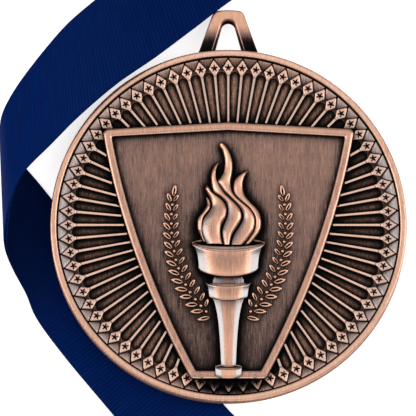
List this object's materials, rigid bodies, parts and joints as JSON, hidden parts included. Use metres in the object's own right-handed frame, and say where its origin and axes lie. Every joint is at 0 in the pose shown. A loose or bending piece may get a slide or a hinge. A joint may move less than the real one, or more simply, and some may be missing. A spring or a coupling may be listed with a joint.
{
  "type": "sports finisher medal",
  "caption": "Round antique bronze finisher medal with radiating rays, a shield, torch and laurels, a hanging loop, and a folded navy neck ribbon with a split ring.",
  "frame": {"origin": "centre of the medal's flat back face", "axes": "+Z out of the medal's front face, +Y from the medal's centre to its hanging loop, +X to the right seen from the front with the loop up"},
  "size_m": [0.0834, 0.1281, 0.0099],
  "materials": {
    "antique_bronze": "antique bronze plating, dark in the recesses and relieved on the high edges",
    "ring_metal": "bronze plated steel wire",
    "ribbon_fabric": "navy grosgrain polyester",
    "thread": "navy polyester sewing thread"
  },
  "bodies": {
    "ribbon": {"neck_ribbon": "ribbon_fabric", "lap_stitching": "thread"},
    "medal": {"medal_casting": "antique_bronze"},
    "ring": {"split_ring": "ring_metal"}
  },
  "joints": [
    {"name": "medal_lift", "type": "slide", "parent": "ribbon", "child": "medal", "axis": [0, 0, 1], "range_m": [0, 0.03]},
    {"name": "ring_swing", "type": "hinge", "parent": "ribbon", "child": "ring", "pos_m": [-0.008, 0.067, 0.0063], "axis": [0, 1, 0], "range_deg": [0, 115]}
  ]
}
